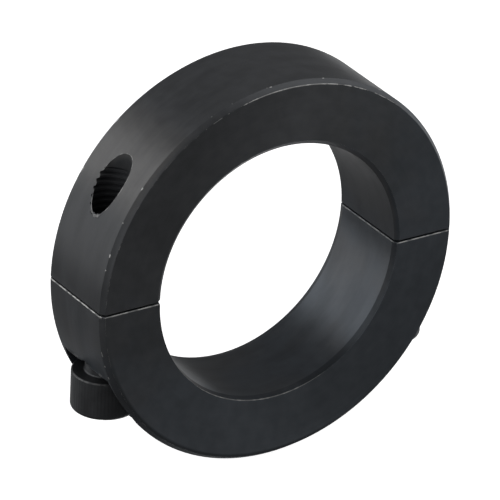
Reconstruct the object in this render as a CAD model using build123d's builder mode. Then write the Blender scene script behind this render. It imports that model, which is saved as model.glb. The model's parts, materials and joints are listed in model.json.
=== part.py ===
"""Two-piece clamping shaft collar for a 40 mm shaft, with two M6 socket head cap screws.

Frame, in millimetres: the origin is at the centre of the bore, +Y runs along the bore from the
front face to the back face, +Z points up, and the collar is split on the plane Z = 0.
Both screws stand parallel to Z. Their heads sit in counterbores in the lower half, and their
threads engage tapped holes that run right through the upper half.
"""
from build123d import *
import math
import os

# Collar body
bore_radius = 20.0
outer_radius = 30.0
width = 15.0
outer_chamfer = 0.6  # across each face, at the outer edge
outer_chamfer_depth = 0.8  # along the bore axis
upper_bore_chamfer = 0.65  # the two halves' bore edges are not finished alike
upper_bore_chamfer_depth = 0.5
lower_bore_chamfer = 0.3
lower_bore_chamfer_depth = 0.95
split_gap = 0.3  # between the halves before the screws are tightened
split_edge_break = 0.1  # on the sawn edges of the split faces

# Screw positions and the holes that take the screws
screw_offset = 24.4  # screw axis to bore axis
seat_height = -11.5  # Z of the counterbore floor that the heads clamp on
counterbore_radius = 6.8
clearance_radius = 3.5
tap_entry_radius = 3.3  # countersink where the screw enters the tapped hole
tap_height = 18.0  # the thread stops here, and the drilled hole goes on to the outer surface
mouth_height = 11.0  # above this, past the end of the screw, the hole's mouth is broken out
mouth_radius = 2.8
mouth_outward = 0.12  # the broken-out mouth is a little off the hole's axis
mouth_forward = 0.2

# M6 x 1 thread
pitch = 1.0
external_minor_radius = 2.35
external_major_radius = 2.95
external_root_width = 0.85  # axial width of the ridge at the minor radius
external_crest_width = 0.12
internal_minor_radius = 2.55
internal_major_radius = 3.0
internal_root_width = 0.80  # axial width of the groove at the minor radius
internal_crest_width = 0.20
ridge_bite = 0.1  # how far a ridge is buried in its core

# M6 x 20 socket head cap screw
head_radius = 5.0
head_length = 6.0
screw_length = 20.0
head_backed_off = 1.6  # head to counterbore floor, with the screws slackened
head_end_round = 0.6
head_bearing_chamfer = 0.2
neck_radius = 3.0
neck_length = 1.4
neck_fillet = 0.25
tip_chamfer = external_major_radius - external_minor_radius
socket_across_flats = 5.0
socket_depth = 3.0
socket_entry_radius = 2.95
socket_entry_depth = 0.25
socket_drill_cone = 0.9  # depth of the drill point below the flats

# Heights worked out from the values above
bearing_height = seat_height - head_backed_off
head_end_height = bearing_height - head_length
tip_height = bearing_height + screw_length


def threaded_core(low, high, minor, major, root_width, crest_width):
    """A right-hand thread about Z between two heights, in step with every other one made here."""
    start = (math.floor(low / pitch) - 1) * pitch
    turns_height = (math.ceil(high / pitch) + 1) * pitch - start
    inner = minor - ridge_bite
    base_width = root_width + (root_width - crest_width) * ridge_bite / (major - minor)
    with BuildPart() as core:
        with BuildLine(Plane.XY.offset(start)) as helix:
            Helix(pitch=pitch, height=turns_height, radius=inner)
        with BuildSketch(Plane.XZ):
            with BuildLine():
                Polyline(
                    (inner, start - base_width / 2),
                    (major, start - crest_width / 2),
                    (major, start + crest_width / 2),
                    (inner, start + base_width / 2),
                    close=True,
                )
            make_face()
        sweep(path=helix.wire(), is_frenet=True)
        with BuildSketch(Plane.XY.offset(start - pitch)):
            Circle(minor)
        extrude(amount=turns_height + 2 * pitch)
        with BuildSketch(Plane.XY.offset(low)):
            Circle(major + ridge_bite)
        extrude(amount=high - low, mode=Mode.INTERSECT)
    return core


def split_ring(keep, bore_chamfer, bore_chamfer_depth):
    """One half of the plain clamp ring, with its sawn edges broken."""
    side = 1 if keep == Keep.TOP else -1
    with BuildPart() as half:
        with BuildSketch(Plane.XY):
            with BuildLine():
                Polyline(
                    (bore_radius, 0),
                    (bore_radius, width / 2 - bore_chamfer_depth),
                    (bore_radius + bore_chamfer, width / 2),
                    (outer_radius - outer_chamfer, width / 2),
                    (outer_radius, width / 2 - outer_chamfer_depth),
                    (outer_radius, 0),
                )
                mirror(about=Plane.XZ)
            make_face()
        revolve(axis=Axis.Y)
        split(bisect_by=Plane.XY.offset(side * split_gap / 2), keep=keep)
        sawn_faces = half.faces().filter_by(Plane.XY).sort_by(Axis.Z, reverse=keep == Keep.BOTTOM)[:2]
        chamfer(sawn_faces.edges(), length=split_edge_break)
    return half


# Tool for the tapped holes
tap = threaded_core(
    -2 * pitch,
    tap_height,
    internal_minor_radius,
    internal_major_radius,
    internal_root_width,
    internal_crest_width,
)

# Upper half: tapped right through on both sides
upper_ring = split_ring(Keep.TOP, upper_bore_chamfer, upper_bore_chamfer_depth)
with BuildPart() as clamp_half_upper:
    add(upper_ring.part)
    with Locations((-screw_offset, 0, 0), (screw_offset, 0, 0)):
        add(tap.part, mode=Mode.SUBTRACT)
        Cylinder(
            internal_minor_radius,
            outer_radius,
            align=(Align.CENTER, Align.CENTER, Align.MIN),
            mode=Mode.SUBTRACT,
        )
    with Locations(
        (-screw_offset - mouth_outward, -mouth_forward, mouth_height),
        (screw_offset + mouth_outward, -mouth_forward, mouth_height),
    ):
        Cylinder(
            mouth_radius,
            outer_radius,
            align=(Align.CENTER, Align.CENTER, Align.MIN),
            mode=Mode.SUBTRACT,
        )
    with Locations((-screw_offset, 0, split_gap / 2), (screw_offset, 0, split_gap / 2)):
        Cone(
            tap_entry_radius,
            internal_minor_radius,
            tap_entry_radius - internal_minor_radius,
            align=(Align.CENTER, Align.CENTER, Align.MIN),
            mode=Mode.SUBTRACT,
        )

# Lower half: counterbored from below, with clearance holes up to the split
lower_ring = split_ring(Keep.BOTTOM, lower_bore_chamfer, lower_bore_chamfer_depth)
with BuildPart() as clamp_half_lower:
    add(lower_ring.part)
    with Locations(Plane(origin=(0, 0, -outer_radius), z_dir=(0, 0, -1))):
        with Locations((-screw_offset, 0), (screw_offset, 0)):
            CounterBoreHole(
                radius=clearance_radius,
                counter_bore_radius=counterbore_radius,
                counter_bore_depth=outer_radius + seat_height,
            )

# Cap screw about its own axis, at its rest height
screw_thread = threaded_core(
    bearing_height + neck_length / 2,
    tip_height,
    external_minor_radius,
    external_major_radius,
    external_root_width,
    external_crest_width,
)
with BuildPart() as cap_screw:
    add(screw_thread.part)
    with BuildSketch(Plane.XZ):
        with BuildLine():
            Polyline(
                (0, bearing_height),
                (external_major_radius + ridge_bite, bearing_height),
                (external_major_radius + ridge_bite, tip_height - tip_chamfer - ridge_bite),
                (external_minor_radius, tip_height),
                (0, tip_height),
                close=True,
            )
        make_face()
    revolve(axis=Axis.Z, mode=Mode.INTERSECT)
    with BuildSketch(Plane.XY.offset(bearing_height)):
        Circle(neck_radius)
    extrude(amount=neck_length)
    with BuildSketch(Plane.XY.offset(head_end_height)):
        Circle(head_radius)
    extrude(amount=head_length)
    head_rims = cap_screw.edges().filter_by(GeomType.CIRCLE).filter_by(lambda rim: rim.radius == head_radius)
    fillet(head_rims.sort_by(Axis.Z)[0], radius=head_end_round)
    chamfer(head_rims.sort_by(Axis.Z)[-1], length=head_bearing_chamfer)
    neck_rims = cap_screw.edges().filter_by(GeomType.CIRCLE).filter_by(lambda rim: rim.radius == neck_radius)
    fillet(neck_rims.sort_by(Axis.Z)[0], radius=neck_fillet)
    with BuildSketch(Plane.XY.offset(head_end_height)):
        RegularPolygon(socket_across_flats / 2, side_count=6, major_radius=False)
    extrude(amount=socket_depth, mode=Mode.SUBTRACT)
    with Locations((0, 0, head_end_height)):
        Cone(
            socket_entry_radius,
            socket_entry_radius - socket_entry_depth,
            socket_entry_depth,
            align=(Align.CENTER, Align.CENTER, Align.MIN),
            mode=Mode.SUBTRACT,
        )
    with Locations((0, 0, head_end_height + socket_depth)):
        Cone(
            socket_across_flats / 2,
            0,
            socket_drill_cone,
            align=(Align.CENTER, Align.CENTER, Align.MIN),
            mode=Mode.SUBTRACT,
        )


def placed_screw(x):
    """A copy of the cap screw on the axis at this X."""
    with BuildPart() as screw:
        with Locations((x, 0, 0)):
            add(cap_screw.part)
    return screw


clamp_screw_left = placed_screw(-screw_offset)
clamp_screw_right = placed_screw(screw_offset)

pieces = {
    "clamp_half_upper": clamp_half_upper,
    "clamp_half_lower": clamp_half_lower,
    "clamp_screw_left": clamp_screw_left,
    "clamp_screw_right": clamp_screw_right,
}
os.makedirs("parts", exist_ok=True)
for name, piece in pieces.items():
    piece.part.label = name
    export_step(piece.part, f"parts/{name}.step")
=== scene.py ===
"""Studio scene for a two-piece clamping shaft collar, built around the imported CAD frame.

The clamp halves are the CAD's own, with a better material. The cap screws are made again here, with a knurl,
and small burrs are added to the halves. The part's sizes are in millimetres, and the studio's are in metres.
"""
import json
import math
import random

import bmesh
import bpy
from mathutils import Matrix, Vector


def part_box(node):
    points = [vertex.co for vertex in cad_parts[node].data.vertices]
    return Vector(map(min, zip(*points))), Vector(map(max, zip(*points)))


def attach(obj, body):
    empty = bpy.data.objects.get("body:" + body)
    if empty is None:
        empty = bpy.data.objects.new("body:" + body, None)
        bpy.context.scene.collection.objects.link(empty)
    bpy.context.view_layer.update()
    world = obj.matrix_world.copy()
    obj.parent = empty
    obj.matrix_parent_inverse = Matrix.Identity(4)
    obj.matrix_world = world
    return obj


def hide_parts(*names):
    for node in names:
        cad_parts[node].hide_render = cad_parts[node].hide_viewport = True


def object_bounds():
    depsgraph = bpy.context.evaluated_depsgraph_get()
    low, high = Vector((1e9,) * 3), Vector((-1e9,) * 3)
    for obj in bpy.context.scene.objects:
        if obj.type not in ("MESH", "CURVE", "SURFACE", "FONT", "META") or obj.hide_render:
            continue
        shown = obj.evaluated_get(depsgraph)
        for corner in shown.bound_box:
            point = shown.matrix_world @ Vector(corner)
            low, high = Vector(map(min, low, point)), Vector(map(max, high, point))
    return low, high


MM = 0.001  # in Blender's metres

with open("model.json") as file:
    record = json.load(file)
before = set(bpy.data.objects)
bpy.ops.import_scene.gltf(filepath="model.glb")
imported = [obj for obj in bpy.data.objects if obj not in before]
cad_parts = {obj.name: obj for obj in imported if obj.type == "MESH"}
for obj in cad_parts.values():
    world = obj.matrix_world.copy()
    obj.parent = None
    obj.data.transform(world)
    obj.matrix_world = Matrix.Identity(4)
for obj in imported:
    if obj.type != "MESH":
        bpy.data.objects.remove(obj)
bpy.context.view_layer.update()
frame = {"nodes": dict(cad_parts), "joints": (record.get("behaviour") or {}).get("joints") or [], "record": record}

# Sizes that the frame gives, in millimetres
UPPER_LOW, UPPER_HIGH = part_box("clamp_half_upper")
SCREW_LOW, SCREW_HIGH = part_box("clamp_screw_right")
JOINTS = {joint["name"]: joint for joint in frame["joints"]}
OUTER = UPPER_HIGH.z / MM
BORE = frame["record"]["mounts"][0]["dims"]["r_mm"]
HALF_WIDTH = UPPER_HIGH.y / MM
SPLIT = UPPER_LOW.z / MM
SCREW_X = JOINTS["right_screw_turn"]["pos_m"][0] / MM
BEARING_Z = JOINTS["right_screw_turn"]["pos_m"][2] / MM
HEAD_END_Z = SCREW_LOW.z / MM
TIP_Z = SCREW_HIGH.z / MM
HEAD_RADIUS = (SCREW_HIGH.x - SCREW_LOW.x) / MM / 2

# The ring's sizes that the frame doesn't give, in millimetres, the same as the CAD's
OUTER_CHAMFER = 0.6
OUTER_CHAMFER_DEPTH = 0.8
UPPER_BORE_CHAMFER = 0.65
LOWER_BORE_CHAMFER = 0.3
LOWER_BORE_CHAMFER_DEPTH = 0.95
SPLIT_BREAK = 0.1
SEAT_Z = -11.5
POCKET_RADIUS = 6.8
CLEARANCE_RADIUS = 3.5
TAP_RADIUS = 3.0
MOUTH_RADIUS = 2.8
MOUTH_X = SCREW_X + 0.12
MOUTH_Y = -0.2

# The screws' sizes that the frame doesn't give, in millimetres
HEAD_SIDE_RADIUS = HEAD_RADIUS - 0.01  # the knurl's crests stay inside the CAD head
HEAD_ROUND = 0.6
HEAD_CHAMFER = 0.2
KNURLS = 60
KNURL_DEPTH = 0.02
KNURL_RUN_OUT = 0.2
SOCKET_HALF_FLATS = 2.5
SOCKET_DEPTH = 3.0
SOCKET_DRILL_CONE = 0.9
SOCKET_ENTRY_RADIUS = 2.95
SOCKET_ENTRY_DEPTH = 0.25
NECK_RADIUS = 3.0
NECK_LENGTH = 1.4
NECK_FILLET = 0.25
PITCH = 1.0
THREAD_MINOR = 2.35
THREAD_MAJOR = 2.95
THREAD_ROOT_HALF = 0.425
THREAD_CREST_HALF = 0.06

# How finely the meshes are divided, and which edges are sharp
HEAD_STEPS = 480
HEAD_ROUND_RINGS = 8
NECK_FILLET_RINGS = 6
THREAD_STEPS = 96
RINGS_PER_PITCH = 16
WELD = 0.0005  # corners nearer than this are one, in millimetres
SHARP_SCREW = 30  # degrees between two faces that meet in a sharp edge
SHARP_BURR = 50

# Camera: a long lens, from the left of the front face and above it
CAMERA_AZIMUTH = -33.60
CAMERA_ELEVATION = 27.08
CAMERA_ROLL = 2.60
CAMERA_DISTANCE = 0.9564
CAMERA_LENS = 475.5
CAMERA_SENSOR = 36.0
CAMERA_ASIDE = -0.304 * MM
CAMERA_ABOVE = 0.190 * MM

# Softboxes: direction from the collar, apparent radius in degrees, and radiance
LIGHT_DISTANCE = 1.5
SOFTBOXES = {
    "below_right": ((0.53, 0.14, -0.84), 20, 1.667),
    "below": ((0.37, 0.26, -0.89), 20, 1.043),
    "behind_left": ((-0.65, 0.74, 0.17), 28, 0.920),
    "high_left": ((-0.77, 0.27, 0.57), 20, 0.892),
    "above": ((0.40, -0.09, 0.91), 20, 0.668),
    "right_front": ((0.87, -0.44, 0.23), 38, 0.644),
    "high_left_front": ((-0.75, 0.09, 0.66), 20, 0.605),
    "left_front": ((-0.91, -0.40, 0.10), 20, 0.528),
    "right_behind": ((0.84, 0.38, -0.38), 28, 0.512),
    "behind_low": ((0.21, 0.89, -0.40), 20, 0.445),
}
ROOM_GREY = (0.12, 0.12, 0.12, 1)
WHITE = (1, 1, 1, 1)
FLOOR_HALF = 20.0
FLOOR_COLOUR = (0.9, 0.9, 0.9, 1)
FLOOR_GLOW = 0.95


# ---------------------------------------------------------------- shader building blocks


def feed(tree, socket, value):
    """Join a socket to another node's output, or give it a plain value."""
    if isinstance(value, bpy.types.NodeSocket):
        tree.links.new(value, socket)
    else:
        socket.default_value = value


def calc(tree, operation, *values):
    """The result of one math node."""
    node = tree.nodes.new("ShaderNodeMath")
    node.operation = operation
    for socket, value in zip(node.inputs, values):
        feed(tree, socket, value)
    return node.outputs[0]


def chain(tree, operation, values):
    """One operation over any number of values, such as the least of them all."""
    result = values[0]
    for value in values[1:]:
        result = calc(tree, operation, result, value)
    return result


def product(tree, *values):
    return chain(tree, "MULTIPLY", values)


def total(tree, *values):
    return chain(tree, "ADD", values)


def greatest(tree, *values):
    return chain(tree, "MAXIMUM", values)


def minus(tree, first, second):
    return calc(tree, "SUBTRACT", first, second)


def absolute(tree, value):
    return calc(tree, "ABSOLUTE", value)


def gap_between(tree, first, second):
    return absolute(tree, minus(tree, first, second))


def distance(tree, first, second):
    """The long side of a right-angled triangle with these two legs."""
    return calc(tree, "SQRT", total(tree, calc(tree, "POWER", first, 2.0), calc(tree, "POWER", second, 2.0)))


def ramp(tree, value, start, end, low=0.0, high=1.0):
    """A smooth step from low at the start to high at the end."""
    node = tree.nodes.new("ShaderNodeMapRange")
    node.interpolation_type = "SMOOTHSTEP"
    for name, setting in (
        ("Value", value),
        ("From Min", start),
        ("From Max", end),
        ("To Min", low),
        ("To Max", high),
    ):
        feed(tree, node.inputs[name], setting)
    return node.outputs["Result"]


def ramp_down(tree, value, start, end):
    """A smooth step from 1 at the start to 0 at the end."""
    return ramp(tree, value, start, end, 1.0, 0.0)


def noise(tree, vector, scale, detail):
    """A cloudy texture from 0 to 1, seldom far from 0.5."""
    node = tree.nodes.new("ShaderNodeTexNoise")
    feed(tree, node.inputs["Vector"], vector)
    node.inputs["Scale"].default_value = scale
    node.inputs["Detail"].default_value = detail
    return node.outputs["Fac"]


def spread(tree, texture, low, high):
    """A noise texture, stretched to run from low to high."""
    return ramp(tree, texture, 0.3, 0.7, low, high)


def blend_colours(tree, amount, first, second):
    node = tree.nodes.new("ShaderNodeMix")
    node.data_type = "RGBA"
    feed(tree, node.inputs["Factor"], amount)
    feed(tree, node.inputs[6], first)
    feed(tree, node.inputs[7], second)
    return node.outputs[2]


def vector_calc(tree, operation, first, second=None, scale=None):
    """The result of one vector math node."""
    node = tree.nodes.new("ShaderNodeVectorMath")
    node.operation = operation
    feed(tree, node.inputs[0], first)
    if second is not None:
        feed(tree, node.inputs[1], second)
    if scale is not None:
        feed(tree, node.inputs["Scale"], scale)
    return node.outputs[0]


class Place:
    """The surface point in millimetres, about an axis along Y or Z.

    In lathe, it is given by its radius, its place along the axis and its angle.
    """

    def __init__(self, tree, axis):
        texture = tree.nodes.new("ShaderNodeTexCoord")
        self.point = vector_calc(tree, "SCALE", texture.outputs["Object"], scale=1 / MM)
        parts = tree.nodes.new("ShaderNodeSeparateXYZ")
        feed(tree, parts.inputs[0], self.point)
        self.x, self.y, self.z = parts.outputs
        across, along = (self.z, self.y) if axis == "Y" else (self.y, self.z)
        self.radius = distance(tree, self.x, across)
        self.angle = calc(tree, "ARCTAN2", across, self.x)
        lathe = tree.nodes.new("ShaderNodeCombineXYZ")
        for socket, value in zip(lathe.inputs, (self.radius, along, self.angle)):
            feed(tree, socket, value)
        self.lathe = lathe.outputs[0]


# ---------------------------------------------------------------- black oxide

COOL_OXIDE = (0.0925, 0.1045, 0.120, 1)
PLAIN_OXIDE = (0.105, 0.1095, 0.117, 1)
DULL_OXIDE = (0.100, 0.104, 0.111, 1)
WARM_OXIDE = (0.108, 0.108, 0.109, 1)
BARE_STEEL = (0.62, 0.62, 0.61, 1)

# Noise textures: scale and detail
CLOUDS = (0.11, 3.0)
STAINS = (0.55, 4.0)
STREAKS = (2.5, 3.0)
SMUDGES = (1.0, 3.0)
GRAIN = (9.0, 2.0)
COLLAR_DASHES = (1.1, 3.0)
SCREW_DASHES = (1.6, 3.0)

# Finish: tones are shares of the oxide's colour
OXIDE_METALLIC = 0.6
SATIN = (0.38, 0.44)  # roughness
GRAIN_ROUGHNESS = (-0.02, 0.02)
STAIN_TONES = (0.94, 1.06)
STREAK_TONES = (0.98, 1.02)
SMUDGE_TONES = (0.86, 1.04)
SMUDGE_STRETCH = (0.1, 0.3, 2.2)  # over the radius, the length along the axis, and the angle
MARKS_ANISOTROPY = 0.5
MARKS_ROTATION = 0.25  # of a full turn from the tangent
MARKS_DEPTH = 0.002
SCREW_DARKNESS = 0.78


def painted_light_and_shade(tree, painted_patches):
    """Painted light and shade in the oxide's tone, 1 apart from the patches. Each change is a patch and how much
    lighter it is.
    """
    return product(tree, *(calc(tree, "MULTIPLY_ADD", patch, lighter, 1.0) for patch, lighter in painted_patches))


def turned_around(tree, place, axis):
    """The direction of the turning marks: round the axis, in world space."""
    along = (0, 1, 0) if axis == "Y" else (0, 0, 1)
    around = vector_calc(tree, "NORMALIZE", vector_calc(tree, "CROSS_PRODUCT", along, place.point))
    turned = tree.nodes.new("ShaderNodeVectorTransform")
    turned.vector_type = "VECTOR"
    turned.convert_from = "OBJECT"
    turned.convert_to = "WORLD"
    feed(tree, turned.inputs[0], around)
    return turned.outputs[0]


def turning_relief(tree, streaks, grain):
    """Very fine turning marks with a grain over them."""
    bump = tree.nodes.new("ShaderNodeBump")
    bump.inputs["Strength"].default_value = 1.0
    bump.inputs["Distance"].default_value = MARKS_DEPTH * MM
    feed(tree, bump.inputs["Height"], total(tree, product(tree, streaks, 0.6), product(tree, grain, 0.4)))
    return bump.outputs[0]


def black_oxide(name, axis, worn, shaded, darkness=1.0):
    """Satin black oxide over turned steel.

    The function worn gives the places that are rubbed bright, and on the collar some painted highlights along the
    edges. The function shaded gives the oxide's colour, its tone with painted light and shade, and how much
    rougher it is.
    """
    material = bpy.data.materials.new(name)
    material.use_nodes = True
    tree = material.node_tree
    shader = tree.nodes["Principled BSDF"]
    place = Place(tree, axis)
    stains = noise(tree, place.point, *STAINS)
    streaks = noise(tree, place.lathe, *STREAKS)
    smudges = noise(tree, vector_calc(tree, "MULTIPLY", place.lathe, SMUDGE_STRETCH), *SMUDGES)
    grain = noise(tree, place.point, *GRAIN)
    wear = worn(tree, place)
    tint, shade, rougher = shaded(tree, place, noise(tree, place.point, *CLOUDS))

    # The tone holds the oxide's random stains, streaks and smudges, and the painted light and shade that shaded
    # gives
    tone = product(
        tree,
        spread(tree, stains, *STAIN_TONES),
        spread(tree, streaks, *STREAK_TONES),
        ramp(tree, smudges, 0.3, 0.6, *SMUDGE_TONES),
        shade,
        darkness,
    )
    oxide = vector_calc(tree, "SCALE", tint, scale=tone)
    roughness = total(tree, spread(tree, stains, *SATIN), spread(tree, grain, *GRAIN_ROUGHNESS), rougher)
    feed(tree, shader.inputs["Base Color"], blend_colours(tree, wear, oxide, BARE_STEEL))
    feed(tree, shader.inputs["Metallic"], ramp(tree, wear, 0.0, 1.0, OXIDE_METALLIC, 1.0))
    feed(tree, shader.inputs["Roughness"], roughness)
    feed(tree, shader.inputs["Normal"], turning_relief(tree, streaks, grain))
    feed(tree, shader.inputs["Tangent"], turned_around(tree, place, axis))
    shader.inputs["Anisotropic"].default_value = MARKS_ANISOTROPY
    shader.inputs["Anisotropic Rotation"].default_value = MARKS_ROTATION
    return material


# ---------------------------------------------------------------- the collar's wear, tones and painted light and shade

# Greatest widths of the rubbed lines, in millimetres. The edge's width is also that of the painted highlight lines
# along the chamfers.
EDGE_WEAR_AND_HIGHLIGHT = 0.12
SPECK_WEAR = 0.14
HOLE_WEAR = 0.10
SEAT_WEAR = 0.28

# Parts of the ring: the way that each faces in degrees, and the cosines from it where it starts and is full.
# The angle goes about the bore, with 0 on the right, 90 at the top and 180 on the left.
TOP = (84, 0.80, 0.97)
VERY_TOP = (88, 0.95, 0.99)
BOTTOM = (261, 0.80, 0.96)
LOWER_LEFT = (245, 0.5, 0.85)
LEFT = (165, 0.2, 0.8)
LEFT_OF_BORE = (215, 0.87, 0.97)
UPPER_RIGHT = (52, 0.8, 0.97)
AROUND_HOLE = (137, 0.95, 0.998)
ABOVE_HOLE = (128, 0.97, 0.998)
BELOW_HOLE = (163, 0.94, 0.995)


def ring_depths(tree, place):
    """How far a point lies inside the ring's end faces, its outer surface and its bore."""
    inset = minus(tree, HALF_WIDTH, absolute(tree, place.y))
    return inset, minus(tree, OUTER, place.radius), minus(tree, place.radius, BORE)


def rubbed(tree, gap, width):
    """Full within half of the width from an edge, and none beyond the width."""
    wide = calc(tree, "MAXIMUM", width, 0.001)
    return ramp_down(tree, calc(tree, "DIVIDE", gap, wide), 0.5, 1.0)


def facing(tree, place, degrees, start, end):
    """Full on one part of the ring, and fading away from it."""
    turned = minus(tree, place.angle, math.radians(degrees))
    return ramp(tree, calc(tree, "COSINE", turned), start, end)


def by_half(tree, place, lower, upper):
    """One value on the lower half and another on the upper half."""
    return ramp(tree, place.z, -0.01, 0.01, lower, upper)


def chamfer_wear_and_highlights(tree, place, dashes, inset, outer_depth, bore_depth):
    """Dashes along the chamfers' edges, most of them at the ring's top and at the bottom of its bore, where these
    edges catch the light: partly wear and partly painted highlight, with unbroken painted highlight lines there as
    well.
    """
    width = ramp(tree, dashes, 0.44, 0.62, 0.0, EDGE_WEAR_AND_HIGHLIGHT)
    speck_width = ramp(tree, dashes, 0.63, 0.70, 0.0, SPECK_WEAR)
    high = calc(tree, "MULTIPLY_ADD", facing(tree, place, *TOP), 0.9, 0.1)
    highest = facing(tree, place, *VERY_TOP)
    low = facing(tree, place, *BOTTOM)
    bore_edge = by_half(tree, place, LOWER_BORE_CHAMFER, UPPER_BORE_CHAMFER)
    to_outer_edge = distance(tree, minus(tree, outer_depth, OUTER_CHAMFER), inset)
    to_bore_edge = distance(tree, minus(tree, bore_depth, bore_edge), inset)
    to_shoulder = distance(tree, minus(tree, inset, OUTER_CHAMFER_DEPTH), outer_depth)
    return greatest(
        tree,
        rubbed(tree, to_outer_edge, product(tree, width, high)),
        rubbed(tree, to_bore_edge, product(tree, width, low)),
        # Painted highlights: unbroken lines along the outer edge at the very top and along the bore's edge at the
        # bottom
        product(tree, rubbed(tree, to_outer_edge, product(tree, EDGE_WEAR_AND_HIGHLIGHT, highest)), 0.5),
        product(tree, rubbed(tree, to_bore_edge, product(tree, EDGE_WEAR_AND_HIGHLIGHT, low)), 0.45),
        rubbed(tree, to_shoulder, speck_width),
    )


def split_wear(tree, place, dashes, inset, outside):
    """Bright sawn edges, faint on the upper half, and the bright corner of the lower half."""
    height = absolute(tree, place.z)
    line = product(
        tree,
        ramp_down(tree, height, SPLIT + SPLIT_BREAK, SPLIT + 0.18),
        by_half(tree, place, 1.0, 0.12),
        ramp_down(tree, outside, 0.09, 0.13),
        ramp(tree, dashes, 0.40, 0.56, 0.3, 1.0),
        ramp(tree, place.radius, BORE + 0.15, BORE + 0.35, 0.45, 1.0),
        ramp(tree, inset, 0.0, 12.0, 0.8, 1.0),
    )
    corner = product(
        tree,
        ramp_down(tree, height, SPLIT + 0.15, SPLIT + 0.4),
        by_half(tree, place, 1.0, 0.0),
        ramp_down(tree, inset, 0.6, 1.0),
        ramp(tree, place.radius, OUTER - 0.5, OUTER - 0.3),
        ramp_down(tree, outside, 0.2, 0.3),
    )
    return greatest(tree, line, corner)


def hole_wear(tree, place, dashes, outer_depth):
    """Faint dashes where the tapped holes and the pockets cut the ring's outer surface."""
    aside = absolute(tree, place.x)
    to_mouth = distance(tree, minus(tree, aside, MOUTH_X), minus(tree, place.y, MOUTH_Y))
    to_pocket = distance(tree, minus(tree, aside, SCREW_X), place.y)
    width = ramp(tree, dashes, 0.45, 0.62, 0.0, HOLE_WEAR)
    seat_width = ramp(tree, dashes, 0.50, 0.62, 0.0, SEAT_WEAR)
    mouth = rubbed(tree, gap_between(tree, to_mouth, MOUTH_RADIUS), width)
    pocket = rubbed(tree, gap_between(tree, to_pocket, POCKET_RADIUS), width)
    seat = rubbed(tree, gap_between(tree, place.z, SEAT_Z + 0.15), seat_width)
    on_outside = ramp_down(tree, absolute(tree, outer_depth), 0.02, 0.05)
    above_split = by_half(tree, place, 0.0, 1.0)
    below_seat = ramp_down(tree, place.z, SEAT_Z - 0.02, SEAT_Z + 0.02)
    over_pocket = ramp_down(tree, to_pocket, POCKET_RADIUS, POCKET_RADIUS + 0.3)
    return greatest(
        tree,
        product(tree, mouth, on_outside, above_split, 0.35),
        product(tree, pocket, on_outside, below_seat, 0.4),
        product(tree, seat, on_outside, over_pocket, 0.4),
    )


def collar_wear_and_highlights(tree, place):
    """Where the clamp halves and their burrs are rubbed bright, with painted highlights along the chamfers' edges.
    """
    dashes = noise(tree, place.point, *COLLAR_DASHES)
    inset, outer_depth, bore_depth = ring_depths(tree, place)
    outside = chain(tree, "MINIMUM", (inset, outer_depth, bore_depth))
    standing_out = ramp_down(tree, outer_depth, -0.09, -0.02)
    return greatest(
        tree,
        chamfer_wear_and_highlights(tree, place, dashes, inset, outer_depth, bore_depth),
        split_wear(tree, place, dashes, inset, outside),
        hole_wear(tree, place, dashes, outer_depth),
        product(tree, standing_out, ramp(tree, dashes, 0.4, 0.65, 0.06, 0.5)),
    )


def collar_tint(tree, place, clouds, on_outside, on_bore):
    """Bluer low down on the right than high up on the left, and warmer over the left tapped hole."""
    lean = calc(tree, "MULTIPLY_ADD", place.x, -0.6, place.z)
    lean = total(tree, lean, product(tree, clouds, 2 * OUTER), product(tree, on_bore, BORE))
    tint = blend_colours(tree, ramp(tree, lean, 0.7 * OUTER, 1.6 * OUTER), COOL_OXIDE, PLAIN_OXIDE)
    over_hole = product(tree, facing(tree, place, *AROUND_HOLE), on_outside)
    return blend_colours(tree, over_hole, tint, WARM_OXIDE)


def lower_bore_chamfer(tree, place, inset, bore_depth):
    """Full on the chamfer round the lower half's bore."""
    return product(
        tree,
        ramp_down(tree, inset, LOWER_BORE_CHAMFER_DEPTH - 0.06, LOWER_BORE_CHAMFER_DEPTH),
        ramp_down(tree, bore_depth, LOWER_BORE_CHAMFER - 0.04, LOWER_BORE_CHAMFER),
        by_half(tree, place, 1.0, 0.0),
    )


def in_tapped_hole(tree, place, outer_depth):
    """Full inside the tapped holes, a little way down from their mouths."""
    to_hole = distance(tree, minus(tree, absolute(tree, place.x), SCREW_X), place.y)
    return product(
        tree,
        ramp_down(tree, to_hole, TAP_RADIUS + 0.05, TAP_RADIUS + 0.1),
        ramp(tree, outer_depth, 0.1, 0.8),
    )


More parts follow.
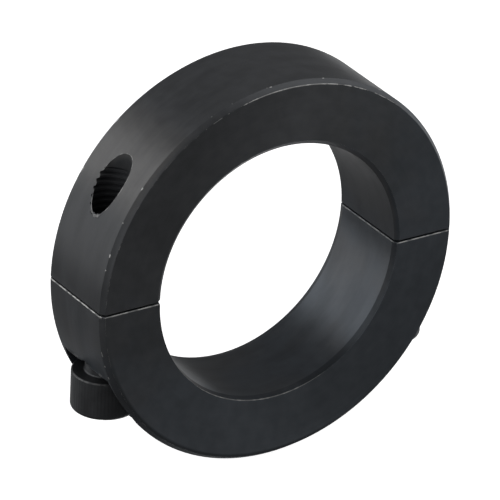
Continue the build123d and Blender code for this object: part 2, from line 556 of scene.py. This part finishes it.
def collar_shade(tree, place, clouds):
    """The clamp halves' oxide: its colour, its tone with painted light and shade, and a duller low outer edge.

    The patches of tone are painted light and shade, which make up for what the softboxes leave over against the
    photograph. Painted light goes over the left tapped hole, on the whole outer surface and in the bore. Painted
    shade goes below that hole, on the left and upper right of the face, inside the tapped holes, on the low outer
    edge and on the lower bore chamfer.
    """
    inset, outer_depth, bore_depth = ring_depths(tree, place)
    on_outside = ramp_down(tree, outer_depth, 0.0, 0.9)
    on_bore = ramp_down(tree, bore_depth, 0.0, 0.5)
    on_face = ramp_down(tree, inset, 0.02, 0.1)
    outer_chamfer = ramp_down(tree, total(tree, inset, outer_depth), OUTER_CHAMFER_DEPTH, 1.3)
    # The low outer edge gets painted shade as well as more roughness, to dim the light it catches
    low_edge = product(tree, outer_chamfer, facing(tree, place, *LOWER_LEFT))
    bore_chamfer = lower_bore_chamfer(tree, place, inset, bore_depth)
    # Painted light and shade: each patch and how much lighter it is, below 0 where shade is painted
    painted_patches = (
        (product(tree, facing(tree, place, *ABOVE_HOLE), on_outside), 0.16),
        (product(tree, facing(tree, place, *BELOW_HOLE), on_outside), -0.38),
        (on_outside, 0.18),
        (product(tree, facing(tree, place, *LEFT), on_face), -0.17),
        (product(tree, facing(tree, place, *UPPER_RIGHT), on_face), -0.16),
        (on_bore, 0.06),
        (in_tapped_hole(tree, place, outer_depth), -0.25),
        (low_edge, -0.45),
        (bore_chamfer, -0.3),
        (product(tree, bore_chamfer, facing(tree, place, *LEFT_OF_BORE)), -0.5),
    )
    tint = collar_tint(tree, place, clouds, on_outside, on_bore)
    return tint, painted_light_and_shade(tree, painted_patches), product(tree, low_edge, 0.45)


# ---------------------------------------------------------------- the screws' wear, tones and painted shade


def screw_shade(tree, place, clouds):
    """The head's rim and the ring under the head are darker than the rest: painted shade, which dims the light
    that the rim's chamfer catches and shades the ring under the head where it faces the pocket's floor.
    """
    rim = ramp_down(tree, gap_between(tree, place.radius, HEAD_RADIUS - HEAD_CHAMFER / 2), 0.08, 0.12)
    under = ramp_down(tree, gap_between(tree, place.radius, (HEAD_RADIUS + NECK_RADIUS) / 2), 0.7, 0.9)
    bearing = product(tree, under, ramp(tree, place.z, BEARING_Z - 0.05, BEARING_Z - 0.02))
    tint = blend_colours(tree, clouds, PLAIN_OXIDE, DULL_OXIDE)
    return tint, painted_light_and_shade(tree, ((rim, -0.3), (bearing, -0.5))), product(tree, rim, 0.12)


def screw_wear(tree, place):
    """Faint wear on the head's rim, specks on its end's round, and a little on the thread's crests."""
    dashes = noise(tree, place.point, *SCREW_DASHES)
    to_rim = distance(
        tree,
        minus(tree, HEAD_RADIUS - HEAD_CHAMFER / 2, place.radius),
        minus(tree, BEARING_Z - HEAD_CHAMFER / 2, place.z),
    )
    to_end = distance(
        tree,
        minus(tree, HEAD_RADIUS - HEAD_ROUND / 3, place.radius),
        minus(tree, HEAD_END_Z + HEAD_ROUND / 3, place.z),
    )
    crest = ramp(tree, place.radius, THREAD_MAJOR - 0.12, THREAD_MAJOR - 0.02)
    shank = ramp(tree, place.z, BEARING_Z + NECK_LENGTH, BEARING_Z + NECK_LENGTH + 0.1)
    return greatest(
        tree,
        product(tree, rubbed(tree, to_rim, 0.16), ramp(tree, dashes, 0.4, 0.6, 0.04, 0.16)),
        rubbed(tree, to_end, ramp(tree, dashes, 0.58, 0.68, 0.0, 0.25)),
        product(tree, crest, shank, 0.12),
    )


# ---------------------------------------------------------------- pieces


def finished_mesh(name, body, sharp_degrees):
    """A mesh that is smooth apart from its sharp edges."""
    bmesh.ops.recalc_face_normals(body, faces=body.faces)
    mesh = bpy.data.meshes.new(name)
    body.to_mesh(mesh)
    body.free()
    mesh.shade_smooth()
    mesh.set_sharp_from_angle(angle=math.radians(sharp_degrees))
    return mesh


def add_piece(name, mesh, body, material, x=0.0):
    """Put a mesh in the scene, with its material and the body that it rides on."""
    piece = bpy.data.objects.new(name, mesh)
    piece.location = (x * MM, 0, 0)
    mesh.materials.append(material)
    bpy.context.scene.collection.objects.link(piece)
    bpy.context.view_layer.update()
    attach(piece, body)
    return piece


# ---------------------------------------------------------------- cap screws


def add_shell(body, rings, steps, first_height, last_height):
    """A closed surface about Z, with a fan over each end.

    Each ring is a function that gives a radius and a height for an angle.
    """
    turns = [math.tau * step / steps for step in range(steps)]
    loops = []
    for ring in rings:
        loop = []
        for turn in turns:
            radius, height = ring(turn)
            corner = (radius * math.cos(turn) * MM, radius * math.sin(turn) * MM, height * MM)
            loop.append(body.verts.new(corner))
        loops.append(loop)
    for lower, upper in zip(loops, loops[1:]):
        for step in range(steps):
            after = (step + 1) % steps
            body.faces.new((lower[step], lower[after], upper[after], upper[step]))
    for loop, height in ((loops[0], first_height), (loops[-1], last_height)):
        centre = body.verts.new((0, 0, height * MM))
        for step in range(steps):
            body.faces.new((centre, loop[step], loop[(step + 1) % steps]))


def plain_ring(radius, height):
    return lambda turn: (radius, height)


def hexagon_radius(turn):
    """The socket's radius at an angle, between its flats and its corners."""
    sixth = math.tau / 6
    return SOCKET_HALF_FLATS / math.cos((turn + sixth / 2) % sixth - sixth / 2)


def entry_radius(turn):
    """Where the socket's entry cone ends: at its own foot, or at the hexagon where that is wider."""
    return max(hexagon_radius(turn), SOCKET_ENTRY_RADIUS - SOCKET_ENTRY_DEPTH)


def entry_height(turn):
    """The height of the same place, on a cone of 45 degrees."""
    return HEAD_END_Z + SOCKET_ENTRY_RADIUS - entry_radius(turn)


def knurled_ring(height, depth):
    """A ring of the head's side, with upright grooves."""

    def ring(turn):
        groove = (0.5 + 0.5 * math.cos(turn * KNURLS)) ** 2
        return HEAD_SIDE_RADIUS - depth * groove, height

    return ring


def arc_rings(radius, height, size, start, count, outward):
    """Rings over a quarter round of the given size about a centre, starting at an angle."""
    rings = []
    for step in range(count + 1):
        turn = start + outward * math.pi / 2 * step / count
        rings.append(plain_ring(radius + size * math.cos(turn), height + size * math.sin(turn)))
    return rings


def head_rings():
    """From the socket's floor, out over the head's end, up its knurled side, and in to the neck."""
    floor_height = HEAD_END_Z + SOCKET_DEPTH
    side_low = HEAD_END_Z + HEAD_ROUND
    side_high = BEARING_Z - HEAD_CHAMFER
    rings = [
        plain_ring(SOCKET_HALF_FLATS, floor_height),
        lambda turn: (hexagon_radius(turn), floor_height),
        lambda turn: (hexagon_radius(turn), entry_height(turn)),
        lambda turn: (entry_radius(turn), entry_height(turn)),
        plain_ring(SOCKET_ENTRY_RADIUS, HEAD_END_Z),
    ]
    rings += arc_rings(HEAD_SIDE_RADIUS - HEAD_ROUND, side_low, HEAD_ROUND, -math.pi / 2, HEAD_ROUND_RINGS, 1)
    rings += [
        knurled_ring(side_low + KNURL_RUN_OUT, KNURL_DEPTH / 2),
        knurled_ring(side_low + 0.5, KNURL_DEPTH),
        knurled_ring(side_high - KNURL_RUN_OUT, KNURL_DEPTH),
        knurled_ring(side_high, KNURL_DEPTH / 2),
        plain_ring(HEAD_RADIUS - HEAD_CHAMFER, BEARING_Z),
    ]
    rings += arc_rings(
        NECK_RADIUS + NECK_FILLET, BEARING_Z + NECK_FILLET, NECK_FILLET, -math.pi / 2, NECK_FILLET_RINGS, -1
    )
    rings.append(plain_ring(NECK_RADIUS, BEARING_Z + NECK_LENGTH))
    return rings


def thread_ring(height):
    """A ring of the threaded shank, where the ridge stands as high as its place along the pitch says."""
    tip = THREAD_MINOR + TIP_Z - height

    def ring(turn):
        along = (height / PITCH - turn / math.tau + 0.5) % 1.0 - 0.5
        climb = (THREAD_ROOT_HALF - abs(along) * PITCH) / (THREAD_ROOT_HALF - THREAD_CREST_HALF)
        ridge = THREAD_MINOR + (THREAD_MAJOR - THREAD_MINOR) * min(max(climb, 0.0), 1.0)
        return min(ridge, tip), height

    return ring


def thread_rings():
    """From inside the neck up to the screw's tip."""
    start = BEARING_Z + NECK_LENGTH / 2
    count = math.ceil((TIP_Z - start) / PITCH * RINGS_PER_PITCH)
    return [thread_ring(start + (TIP_Z - start) * step / count) for step in range(count + 1)]


def cap_screw_mesh():
    """A socket head cap screw about Z, at its height in the frame."""
    body = bmesh.new()
    socket_end = HEAD_END_Z + SOCKET_DEPTH + SOCKET_DRILL_CONE
    add_shell(body, head_rings(), HEAD_STEPS, socket_end, BEARING_Z + NECK_LENGTH)
    add_shell(body, thread_rings(), THREAD_STEPS, BEARING_Z + NECK_LENGTH / 2, TIP_Z)
    bmesh.ops.remove_doubles(body, verts=body.verts, dist=WELD * MM)
    return finished_mesh("cap_screw", body, SHARP_SCREW)


# ---------------------------------------------------------------- burrs

# All burrs, in millimetres: the least height and width, and how deep the root and the sides are sunk
BURR_HEIGHT = 0.01
BURR_WIDTH = 0.08
BURR_ROOT = 0.12
BURR_SIDE = 0.06

# A tapped hole's burr, in degrees round the rim from its outermost point towards the back
MOUTH_BURR_START = -110
MOUTH_BURR_END = 60
MOUTH_BURR_STEP = 2
MOUTH_BURR_FADE = 20
MOUTH_CURL = -18
MOUTH_HANG = -5

# A pocket's burr: how many steps it has, and the share of them over which each end fades
SEAT_BURR_STEPS = 40
SEAT_BURR_FADE = 1 / 6


def outside_normal(x, z):
    return Vector((x, 0, z)) / OUTER


def mouth_edge(side, turn):
    """A point of a tapped hole's rim, the surface's normal, and the way from the hole."""
    flat = Vector((side * math.cos(turn), math.sin(turn), 0))
    x = side * MOUTH_X + MOUTH_RADIUS * flat.x
    z = math.sqrt(OUTER * OUTER - x * x)
    normal = outside_normal(x, z)
    away = (flat - normal * normal.dot(flat)).normalized()
    return Vector((x, MOUTH_Y + MOUTH_RADIUS * flat.y, z)), normal, away


def seat_edge(side, y):
    """A point where a pocket's floor leaves the ring, the surface's normal, and the way from the pocket."""
    x = side * math.sqrt(OUTER * OUTER - SEAT_Z * SEAT_Z)
    away = Vector((-SEAT_Z * side, 0, abs(x))) / OUTER
    return Vector((x, y, SEAT_Z)), outside_normal(x, SEAT_Z), away


def seat_reach(radius):
    """How far along Y a screw hole of this radius reaches, where the seat meets the outer surface."""
    return math.sqrt(radius**2 - (math.sqrt(OUTER**2 - SEAT_Z**2) - SCREW_X) ** 2)


def burr_section(point, normal, away, height, width, overhang):
    """The outline of a burr at one station, from its root, round over its crest, and back."""
    return [
        point - normal * BURR_ROOT + away * 0.05,
        point - normal * BURR_SIDE - away * overhang,
        point + normal * height * 0.5 - away * overhang,
        point + normal * height + away * width * 0.2,
        point + away * width - normal * 0.01,
        point - normal * BURR_SIDE + away * width * 0.6,
    ]


def add_burr(name, body, stations, material):
    """A thin closed lip along an edge.

    Each station is an edge point, a normal, the way from the hole, a height, a width and an overhang.
    """
    shape = bmesh.new()
    loops = [[shape.verts.new(corner * MM) for corner in burr_section(*station)] for station in stations]
    for near, far in zip(loops, loops[1:]):
        for corner in range(len(near)):
            after = (corner + 1) % len(near)
            shape.faces.new((near[corner], near[after], far[after], far[corner]))
    shape.faces.new(loops[0])
    shape.faces.new(loops[-1])
    add_piece(name, finished_mesh(name, shape, SHARP_BURR), body, material)


def swell(value, centre, reach):
    """A smooth hump, 1 at the centre."""
    return math.exp(-(((value - centre) / reach) ** 2))


def add_mouth_burr(name, side, material):
    """A curled lip that hangs over the lowest part of a tapped hole's rim, with a fine burr up the front."""
    draw = random.Random(name)
    stations = []
    for degrees in range(MOUTH_BURR_START, MOUTH_BURR_END + 1, MOUTH_BURR_STEP):
        from_end = min(degrees - MOUTH_BURR_START, MOUTH_BURR_END - degrees)
        rough = draw.uniform(0.45, 1.0) * min(1.0, from_end / MOUTH_BURR_FADE)
        height = BURR_HEIGHT + rough * (0.02 + 0.08 * swell(degrees, MOUTH_CURL, 14))
        width = BURR_WIDTH + rough * (0.06 + 0.34 * swell(degrees, MOUTH_CURL, 16))
        overhang = rough * (0.06 + 0.40 * swell(degrees, MOUTH_HANG, 24))
        stations.append((*mouth_edge(side, math.radians(degrees)), height, width, overhang))
    add_burr(name, "upper_half", stations, material)


def add_seat_burr(name, side, low, high, material):
    """A turned-up lip where the counterbore's floor breaks out of the ring."""
    draw = random.Random(name)
    stations = []
    for step in range(SEAT_BURR_STEPS + 1):
        share = step / SEAT_BURR_STEPS
        rough = draw.uniform(0.2, 1.0) * min(1.0, share / SEAT_BURR_FADE, (1 - share) / SEAT_BURR_FADE)
        middle = swell(share, 0.5, 0.25)
        height = BURR_HEIGHT + rough * (0.06 + 0.10 * middle)
        width = BURR_WIDTH + rough * (0.12 + 0.16 * middle)
        stations.append((*seat_edge(side, low + (high - low) * share), height, width, rough * 0.16))
    add_burr(name, "lower_half", stations, material)


# ---------------------------------------------------------------- studio


def add_camera():
    """A camera that looks at the bore's centre, moved a little aside and rolled."""
    azimuth = math.radians(CAMERA_AZIMUTH)
    elevation = math.radians(CAMERA_ELEVATION)
    roll = math.radians(CAMERA_ROLL)
    level_back = Vector((math.sin(azimuth), -math.cos(azimuth), 0))
    back = level_back * math.cos(elevation) + Vector((0, 0, math.sin(elevation)))
    level = Vector((0, 0, 1)).cross(back).normalized()
    upright = back.cross(level)
    right = level * math.cos(roll) + upright * math.sin(roll)
    up = upright * math.cos(roll) - level * math.sin(roll)
    data = bpy.data.cameras.new("camera")
    data.lens = CAMERA_LENS
    data.sensor_width = CAMERA_SENSOR
    data.clip_start = 0.01
    data.clip_end = 20.0
    camera = bpy.data.objects.new("camera", data)
    place = back * CAMERA_DISTANCE + right * CAMERA_ASIDE + up * CAMERA_ABOVE
    camera.matrix_world = Matrix.Translation(place) @ Matrix((right, up, back)).transposed().to_4x4()
    bpy.context.scene.collection.objects.link(camera)
    bpy.context.scene.camera = camera


def add_softbox(name, direction, degrees, radiance):
    """A round softbox that lights the collar evenly from a direction."""
    data = bpy.data.lights.new(name, "AREA")
    data.shape = "DISK"
    radius = LIGHT_DISTANCE * math.tan(math.radians(degrees))
    area = math.pi * radius * radius
    data.size = 2 * radius
    data.energy = radiance * math.pi * area
    light = bpy.data.objects.new(name, data)
    toward = Vector(direction).normalized()
    light.location = toward * LIGHT_DISTANCE
    light.rotation_mode = "QUATERNION"
    light.rotation_quaternion = toward.to_track_quat("Z", "Y")
    light.visible_camera = False
    bpy.context.scene.collection.objects.link(light)


def add_world():
    """White behind the collar, and a dim grey where the collar reflects the room."""
    world = bpy.data.worlds.new("studio")
    world.use_nodes = True
    bpy.context.scene.world = world
    tree = world.node_tree
    seen = tree.nodes.new("ShaderNodeLightPath").outputs["Is Camera Ray"]
    feed(tree, tree.nodes["Background"].inputs["Color"], blend_colours(tree, seen, ROOM_GREY, WHITE))


def add_floor():
    """A glowing white floor under the collar, which neither lights it nor shows in it."""
    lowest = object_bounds()[0].z
    mesh = bpy.data.meshes.new("floor")
    corners = [(x * FLOOR_HALF, y * FLOOR_HALF, lowest) for x, y in ((-1, -1), (1, -1), (1, 1), (-1, 1))]
    mesh.from_pydata(corners, [], [(0, 1, 2, 3)])
    floor = bpy.data.objects.new("floor", mesh)
    bpy.context.scene.collection.objects.link(floor)
    material = bpy.data.materials.new("floor_white")
    material.use_nodes = True
    shader = material.node_tree.nodes["Principled BSDF"]
    shader.inputs["Base Color"].default_value = FLOOR_COLOUR
    shader.inputs["Emission Color"].default_value = WHITE
    shader.inputs["Emission Strength"].default_value = FLOOR_GLOW
    mesh.materials.append(material)
    floor.visible_glossy = False
    floor.visible_diffuse = False
    floor.visible_shadow = False


# ---------------------------------------------------------------- the scene

collar_steel = black_oxide("collar_black_oxide", "Y", collar_wear_and_highlights, collar_shade)
screw_steel = black_oxide("screw_black_oxide", "Z", screw_wear, screw_shade, SCREW_DARKNESS)
for node in frame["nodes"].values():
    node.data.materials.clear()
    node.data.materials.append(collar_steel)

pocket_reach = seat_reach(POCKET_RADIUS)
notch_reach = seat_reach(CLEARANCE_RADIUS)
for side, word in ((-1, "left"), (1, "right")):
    mesh = cap_screw_mesh()
    screw = add_piece(f"cap_screw_{word}", mesh, f"{word}_screw", screw_steel, side * SCREW_X)
    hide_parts(f"clamp_screw_{word}")
    add_mouth_burr(f"tapped_hole_burr_{word}", side, collar_steel)
    add_seat_burr(f"pocket_burr_back_{word}", side, notch_reach, pocket_reach, collar_steel)
    add_seat_burr(f"pocket_burr_front_{word}", side, -pocket_reach, -notch_reach, collar_steel)

add_camera()
add_world()
add_floor()
for softbox, (direction, degrees, radiance) in SOFTBOXES.items():
    add_softbox(softbox, direction, degrees, radiance)
bpy.context.scene.view_settings.view_transform = "Standard"
